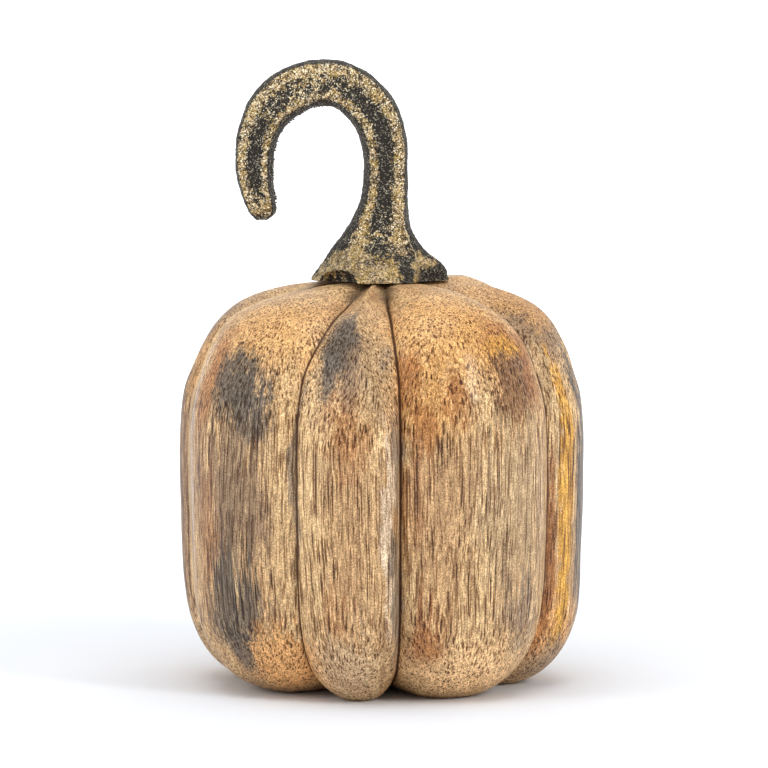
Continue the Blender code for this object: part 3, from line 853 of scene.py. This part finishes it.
def carving_tree(wood):
    """Tree that carves the lobes, the tool lines and the sanding waves into the blank."""
    tree, given = tree_with_inputs("carve_lobes", CARVING_NUMBERS)
    off = named_fact(tree, "off_crest")
    rise = minus(tree, 1.0, times(tree, off, off))
    shift = times(tree, named_fact(tree, "swell"), rise)
    valley = calc(tree, "POWER", off, given["Groove sharpness"])
    near = calc(tree, "DIVIDE", named_fact(tree, "line_arc"), given["Line width"])
    near = calc(tree, "EXPONENT", times(tree, near, -1.0))
    slope = times(tree, minus(tree, off, times(tree, off, off)), given["Ridge share"])
    for fact, share in (("groove_depth", valley), ("line_depth", near), ("ridge", slope)):
        shift = minus(tree, shift, times(tree, named_fact(tree, fact), share))
    shift = minus(tree, shift, named_fact(tree, "score"))
    wave = add_node(
        tree, "ShaderNodeTexNoise",
        {"Vector": worked(tree, "InputPosition"), "W": given["Seed"], "Detail": 2.0,
         "Roughness": 0.45, "Scale": calc(tree, "DIVIDE", 1.0 / MM, given["Sanding length"])},
        noise_dimensions="4D").outputs[0]
    wave = times(tree, minus(tree, wave, 0.62), given["Sanding wave"])
    shift = calc(tree, "ADD", shift, times(tree, wave, 2.0))
    shift = times(tree, times(tree, shift, named_fact(tree, "carving_fade")), MM)
    offset = add_node(
        tree, "ShaderNodeVectorMath",
        {0: named_fact(tree, "outward", "FLOAT_VECTOR"), "Scale": shift},
        operation="SCALE").outputs["Vector"]
    carved = worked(tree, "SetPosition", Geometry=given["Geometry"], Offset=offset)

    # Nothing sinks below the underside or rises past the seat.
    place = worked(tree, "InputPosition")
    parts = add_node(tree, "ShaderNodeSeparateXYZ", {"Vector": place}).outputs
    level = calc(tree, "MAXIMUM", parts["Z"], 0.0)
    level = calc(tree, "MINIMUM", level, times(tree, given["Seat height"], MM))
    level = joined(tree, parts["X"], parts["Y"], level)
    held = worked(tree, "SetPosition", Geometry=carved, Position=level)
    end_tree(tree, worked(tree, "SetShadeSmooth", Geometry=held), wood)
    return tree


def keep_in_box(mesh, node):
    """Hold every point within a CAD node's own box."""
    low, high = (np.array(corner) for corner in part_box(node))
    points = np.empty(len(mesh.vertices) * 3, dtype=np.float32)
    mesh.vertices.foreach_get("co", points)
    points = np.clip(points.reshape(-1, 3), low, high)
    mesh.vertices.foreach_set("co", points.astype(np.float32).ravel())
    mesh.update()


def show(name, mesh, finish, slot, *nodes):
    """Add a finished piece that rides on the root and stands for CAD nodes."""
    piece = put(name, mesh)
    mesh.materials.clear()
    mesh.materials.append(finish)
    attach(piece, "root")
    if nodes:
        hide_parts(*nodes)


def carved_body():
    """Fine carved wood body."""
    wood = wood_material()
    mesh = mesh_by_tree("wood_blank", wood_blank(), carving_tree(wood), CARVING_NUMBERS)
    keep_in_box(mesh, "wood_body")
    show("carved_wood_body", mesh, wood, "carved_wood", "wood_body")


def hook_section(station):
    """Points round the hook at one station, with how rubbed each one is."""
    outer_x, outer_z, inner_x, inner_z, depth, channel, bare = station
    points = []
    for side in (-1.0, 1.0):
        rows = SHAFT_SECTION if side < 0.0 else SHAFT_SECTION[-2:0:-1]
        for across, deep, sunk, rubbed in rows:
            share = (across + 1.0) / 2.0
            if sunk > 0.0:
                rubbed += (1.0 - rubbed) * CHANNEL_RUBBED * bare
            points.append((
                inner_x + (outer_x - inner_x) * share,
                side * (depth * deep - channel * sunk),
                inner_z + (outer_z - inner_z) * share, rubbed))
    return points


def shaft_section(station):
    """Points round the shaft or the flared foot at one height."""
    height, left, right, depth, channel, foot_share = station
    points = []
    for side in (-1.0, 1.0):
        foot = FOOT_FRONT if side < 0.0 else FOOT_BACK
        order = range(len(foot)) if side < 0.0 else range(len(foot) - 2, 0, -1)
        for index in order:
            across, deep, sunk, rubbed = SHAFT_SECTION[index]
            foot_across, foot_deep, foot_rubbed = foot[index]
            share = (across + (foot_across - across) * foot_share + 1.0) / 2.0
            reach = depth * (deep + (foot_deep - deep) * foot_share) - channel * sunk
            points.append((
                left + (right - left) * share, side * reach, height,
                rubbed + (foot_rubbed - rubbed) * foot_share))
    return points


def cut_corners(points):
    """Round a closed section by cutting each corner."""
    ring = np.array(points)
    for _ in range(CORNER_CUTS):
        after = np.roll(ring, -1, axis=0)
        near = 0.75 * ring + 0.25 * after
        far = 0.25 * ring + 0.75 * after
        ring = np.stack((near, far), axis=1).reshape(-1, ring.shape[1])
    return ring


def stem_shell():
    """Loft of the whole stem with a rubbed value on each point."""
    rings = []
    for stations, section in ((HOOK_STATIONS, hook_section), (SHAFT_STATIONS, shaft_section)):
        count = (len(stations) - 1) * STATION_SPLITS
        rings += [cut_corners(section(curve_through(stations, step / count)))
                  for step in range(count + 1)]
    shape = bmesh.new()
    layer = shape.verts.layers.float.new("rubbed")
    shape.verts.layers.float.new("brushed")
    rows = []
    for ring in rings:
        row = []
        for x, y, z, rubbed in ring:
            vert = shape.verts.new((x, y, z + FOOT_HEIGHT))
            vert[layer] = rubbed
            row.append(vert)
        rows.append(row)
    count = len(rows[0])
    for upper, lower in zip(rows, rows[1:]):
        for here in range(count):
            after = (here + 1) % count
            shape.faces.new((upper[here], upper[after], lower[after], lower[here]))
    for row in (rows[0], rows[-1]):
        middle = shape.verts.new(sum((vert.co for vert in row), Vector()) / count)
        middle[layer] = row[0][layer]
        for here in range(count):
            shape.faces.new((row[here], row[(here + 1) % count], middle))
    bmesh.ops.recalc_face_normals(shape, faces=shape.faces)
    shape.normal_update()
    return shape


def roughen(shape):
    """Where the stem is rubbed, and the waves and grains that its sand mould leaves."""
    moves = []
    layer = shape.verts.layers.float["rubbed"]
    brushed = shape.verts.layers.float["brushed"]
    for vert in shape.verts:
        place = vert.co
        height = place.z - FOOT_HEIGHT
        vert[brushed] = float(smooth_step((BRUSHED_BAND[0] - height) / BRUSHED_BAND[1]))
        facing = float(smooth_step((abs(vert.normal.y) - WALL_FACING) / WALL_SOFTNESS))
        if height > FOOT_TOP:
            vert[layer] = vert[layer] * facing + WALL_RUBBED * (1.0 - facing)
        # Spots change how much is rubbed; one paints a highlight along the foot's ridge.
        for across, high, wide, tall, change in STEM_SPOTS:
            off = ((place.x - across) / wide) ** 2 + ((height - high) / tall) ** 2
            if place.y < 0.0 and off < SPOT_REACH:
                vert[layer] += change * math.exp(-off)
        wave = noise.noise(place / CAST_WAVE_LENGTH) * CAST_WAVE
        grain = noise.fractal(place / CAST_GRAIN_LENGTH, 1.0, 2.0, 3) * CAST_GRAIN
        hold = min(1.0, max(0.0, height / SMOOTH_EDGE))
        moves.append(vert.normal * ((wave + grain - 0.5 * CAST_GRAIN) * hold))
    for vert, move in zip(shape.verts, moves):
        vert.co += move


def cutter_object(name, shape):
    """Cutter made from a bmesh in millimetres."""
    bmesh.ops.scale(shape, vec=(MM, MM, MM), verts=shape.verts)
    layer = shape.verts.layers.float.new("rubbed")
    for vert in shape.verts:
        vert[layer] = UNRUBBED
    mesh = bpy.data.meshes.new(name)
    shape.to_mesh(mesh)
    shape.free()
    return put(name, mesh)


def arch_cutter():
    """Ellipsoid that scoops the arch out of the foot."""
    shape = bmesh.new()
    bmesh.ops.create_uvsphere(shape, u_segments=48, v_segments=32, radius=1.0)
    bmesh.ops.scale(shape, vec=ARCH_RADII, verts=shape.verts)
    turn = math.radians(-ARCH_TURN)
    cos, sin = math.cos(turn), math.sin(turn)
    for vert in shape.verts:
        x, y, z = vert.co
        grit = 1.0 + ARCH_GRIT * noise.noise(vert.co)
        vert.co = Vector((
            ARCH_CENTRE[0] + (x * cos - y * sin) * grit,
            ARCH_CENTRE[1] + (x * sin + y * cos) * grit,
            FOOT_HEIGHT + z * grit))
    return cutter_object("arch_cutter", shape)


def socket_cutter():
    """Round hole for the stud."""
    shape = bmesh.new()
    bmesh.ops.create_cone(
        shape, cap_ends=True, segments=48, radius1=HOLE_RADIUS, radius2=HOLE_RADIUS,
        depth=2.0 * SOCKET_DEPTH)
    bmesh.ops.translate(shape, vec=(0.0, 0.0, FOOT_HEIGHT), verts=shape.verts)
    return cutter_object("socket_cutter", shape)


def metal_material():
    """Black patina with dry-brushed antique gold on a gritty casting."""
    made, tree, shader = new_finish("cast_metal_finish")
    place = place_on_piece(tree)
    rubbed = stored(tree, "rubbed")
    brushed = stored(tree, "brushed")
    patch, blot, grit, stroke = (
        stretched_noise(tree, place, *spot).outputs["Fac"] for spot in CAST_MOTTLING)
    off_patch, off_blot, off_grit, off_stroke = (
        minus(tree, value, 0.5) for value in (patch, blot, grit, stroke))
    flecks = stretched_cells(tree, place, FLECK_SIZE)
    sparks = stretched_cells(tree, place, SPARK_SIZE)

    # Gold stays on what is rubbed, in blots and grains.
    gritty = times_plus(tree, brushed, -1.5, 2.4)
    bare = times_plus(tree, off_patch, 2.2, rubbed)
    bare = times_plus(tree, off_blot, gritty, bare)
    bare = times_plus(tree, off_grit, gritty, bare)
    gold_share = remap(tree, bare, 0.34, 0.60)

    # Gold tones: worn bronze to bright brass in blots, with yellow patches, dark
    # flecks in between and brush strokes on the foot.
    tone = add_node(tree, "ShaderNodeSeparateColor", {"Color": flecks.outputs["Color"]}).outputs
    blotchy = times_plus(tree, off_blot, 3.6, times(tree, tone[0], 0.55))
    blotchy = times_plus(tree, minus(tree, bare, 0.9), 0.30, blotchy)
    gold = blend(tree, remap(tree, blotchy, -0.10, 0.75), WORN_BRONZE, BRIGHT_BRASS)
    yellow = blend(tree, tone[0], DEEP_YELLOW, WARM_YELLOW)
    gold = blend(tree, remap(tree, patch, 0.48, 0.60, 0.0, 0.75), gold, yellow)
    darks = remap(tree, tone[1], 0.62, 0.76)
    darks = times(tree, darks, remap(tree, brushed, 0.0, 1.0, 0.92, 0.45))
    gold = blend(tree, darks, gold, DARK_FLECK)
    strokes = times_plus(tree, off_stroke, times(tree, brushed, STROKE_DEPTH), 1.0)
    gold = tinted(tree, gold, strokes, STROKE_POWERS)
    colour = blend(tree, gold_share, PATINA, gold)

    # Painted glints: single grains of bright metal lightened to near white.
    pick = add_node(tree, "ShaderNodeSeparateColor", {"Color": sparks.outputs["Color"]}).outputs[0]
    glint = remap(tree, times_plus(tree, off_grit, 0.8, pick), 0.82, 0.89)
    glint = times(tree, glint, remap(tree, bare, -0.40, 0.90, 0.20, 1.0))
    glint = times(tree, glint, remap(tree, brushed, 0.0, 1.0, 1.0, 0.5))
    colour = blend(tree, glint, colour, GLINT)

    rough = times_plus(tree, gold_share, -0.30, times_plus(tree, grit, 0.30, 0.50))
    height = times_plus(tree, grit, 1.2, times(tree, flecks.outputs["Distance"], -0.9))
    fill(tree, shader, {
        "Base Color": colour, "Metallic": times_plus(tree, gold_share, 0.70, 0.10),
        "Roughness": rough, "Specular IOR Level": DULL,
        "Normal": bumped(tree, height, 0.9, CAST_RELIEF)})
    return made


def cast_stem():
    """Fine cast stem with its arch and socket."""
    metal = metal_material()
    shape = stem_shell()
    roughen(shape)
    shape.normal_update()
    bmesh.ops.scale(shape, vec=(MM, MM, MM), verts=shape.verts)
    for face in shape.faces:
        face.smooth = True
    mesh = bpy.data.meshes.new("stem_shell")
    shape.to_mesh(mesh)
    shape.free()
    shell = put("stem_shell", mesh)
    cutters = (arch_cutter(), socket_cutter())
    for cutter in cutters:
        step = shell.modifiers.new("cut_" + cutter.name, "BOOLEAN")
        step.operation = "DIFFERENCE"
        step.solver = "EXACT"
        step.object = cutter
    finished = plain_mesh(shell)
    for leftover in (shell, *cutters):
        bpy.data.objects.remove(leftover)
    keep_in_box(finished, "stem")
    show("cast_hook_stem", finished, metal, "cast_metal", "stem")
    return metal


def random_vector(tree, low, high, seed):
    """Seeded random vector, with each part between a low and a high number."""
    low, high = (joined(tree, number, number, number) for number in (low, high))
    return add_node(
        tree, "FunctionNodeRandomValue", {0: low, 1: high, "Seed": seed},
        data_type="FLOAT_VECTOR").outputs[0]


def flash_tree(metal):
    """Tree that sets small beads of casting flash along the parting line."""
    tree, given = tree_with_inputs("casting_flash", FLASH_NUMBERS)
    spacing = times(tree, given["Spacing"], MM)
    line = worked(tree, "MeshToCurve", Mesh=given["Geometry"])
    spots = add_node(
        tree, "GeometryNodeResampleCurve", {"Curve": line, "Length": spacing},
        mode="LENGTH").outputs[0]
    stray = times(tree, given["Stray"], MM)
    back = times(tree, stray, -1.0)
    seed = calc(tree, "FLOOR", given["Seed"])
    loose = worked(
        tree, "SetPosition", Geometry=spots, Offset=random_vector(tree, back, stray, seed))
    bead = worked(tree, "MeshIcoSphere", Radius=MM, Subdivisions=2)
    size = random_vector(tree, given["Smallest"], given["Largest"], seed)
    beads = worked(tree, "InstanceOnPoints", Points=loose, Instance=bead, Scale=size)
    end_tree(tree, beads, metal)
    return tree


def casting_flash(metal):
    """Beads of flash along the inside of the hook, where the mould halves met."""
    points = []
    for step in range(FLASH_POINTS):
        place = FLASH_STRETCH[0] + FLASH_STRETCH[1] * step / (FLASH_POINTS - 1)
        outer_x, outer_z, inner_x, inner_z = curve_through(HOOK_STATIONS, place)[:4]
        away = Vector((outer_x - inner_x, 0.0, outer_z - inner_z)).normalized()
        points.append((Vector((inner_x, 0.0, inner_z + FOOT_HEIGHT)) + away * FLASH_INSIDE) * MM)
    mesh = bpy.data.meshes.new("parting_line")
    mesh.from_pydata(points, [(step, step + 1) for step in range(FLASH_POINTS - 1)], [])
    beads = mesh_by_tree("parting_line", mesh, flash_tree(metal), FLASH_NUMBERS)
    keep_in_box(beads, "stem")
    show("casting_flash", beads, metal, "cast_metal")


def stud_finish():
    """Dull zinc on the hidden stud."""
    made, tree, shader = new_finish("stud_zinc_finish")
    cloud = stretched_noise(tree, place_on_piece(tree), ZINC_CLOUD).outputs["Fac"]
    fill(tree, shader, {
        "Base Color": blend(tree, cloud, DARK_ZINC, LIGHT_ZINC), "Metallic": 1.0,
        "Roughness": remap(tree, cloud, 0.3, 0.7, 0.28, 0.45)})
    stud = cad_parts["stem_stud"]
    stud.data.materials.clear()
    stud.data.materials.append(made)


def panel(name, start, end, finish):
    """Flat panel as wide as the studio, from one depth and height to another."""
    mesh = bpy.data.meshes.new(name)
    mesh.from_pydata(
        [(-STAGE_REACH, *start), (STAGE_REACH, *start), (STAGE_REACH, *end),
         (-STAGE_REACH, *end)], [], [(0, 1, 2, 3)])
    mesh.materials.append(finish)
    piece = put(name, mesh)


def soft_box(name, power, size, bearing, elevation, distance):
    """Area light that faces the object from a bearing and an elevation."""
    angle = math.radians(bearing)
    tilt = math.radians(elevation)
    light = bpy.data.lights.new(name, "AREA")
    light.shape = "RECTANGLE"
    light.size, light.size_y = size
    light.energy = power
    lamp = put(name, light)
    towards = Vector((
        math.sin(angle) * math.cos(tilt), -math.cos(angle) * math.cos(tilt), math.sin(tilt)))
    lamp.location = towards * distance + Vector(LIGHT_AIM)
    lamp.rotation_euler = (-towards).to_track_quat("-Z", "Y").to_euler()


def stage():
    """Pale floor that glows, white backdrop and soft boxes."""
    glowing_paint, tree, shader = new_finish("glowing_floor_paint")
    # The floor's glow is painted light: none round the object and more farther off, so the floor
    # far away is white.
    spot = add_node(tree, "ShaderNodeTexCoord").outputs["Object"]
    glow = remap(tree, vector_calc(tree, "LENGTH", spot), *FLOOR_GLOW_REACH, *FLOOR_GLOW)
    fill(tree, shader, {
        "Base Color": FLOOR_COLOUR, "Roughness": 0.9, "Specular IOR Level": 0.1,
        "Emission Color": WHITE, "Emission Strength": glow})
    panel("floor", (-STAGE_REACH, 0.0), (BACKDROP_PLACE, 0.0), glowing_paint)

    lit, tree, shader = new_finish("lit_backdrop")
    fill(tree, shader, {
        "Base Color": BLACK, "Emission Color": WHITE, "Emission Strength": BACKDROP_GLOW})
    panel("backdrop", (BACKDROP_PLACE, BACKDROP_FOOT), (BACKDROP_PLACE, STAGE_REACH), lit)

    world = bpy.data.worlds.new("studio")
    world.use_nodes = True
    fill(world.node_tree, world.node_tree.nodes["Background"], {
        "Color": WHITE, "Strength": WORLD_GLOW})
    bpy.context.scene.world = world
    for box in SOFT_BOXES:
        soft_box(*box)
    bpy.context.scene.view_settings.view_transform = "Standard"


def camera():
    """Camera at the photo's viewing angle."""
    tilt = math.radians(CAMERA_ELEVATION)
    lens = bpy.data.cameras.new("camera")
    lens.sensor_width = SENSOR
    lens.lens = SENSOR * CAMERA_DISTANCE / (FRAME_PIXELS * PIXEL_SIZE)
    lens.clip_end = CAMERA_REACH
    eye = put("camera", lens)
    back = Vector((0.0, -math.cos(tilt), math.sin(tilt))) * CAMERA_DISTANCE
    eye.location = (Vector(CAMERA_AIM) + back) * MM
    eye.rotation_euler = (math.pi / 2.0 - tilt, 0.0, 0.0)
    bpy.context.scene.camera = eye


carved_body()
casting_flash(cast_stem())
stud_finish()
stage()
camera()
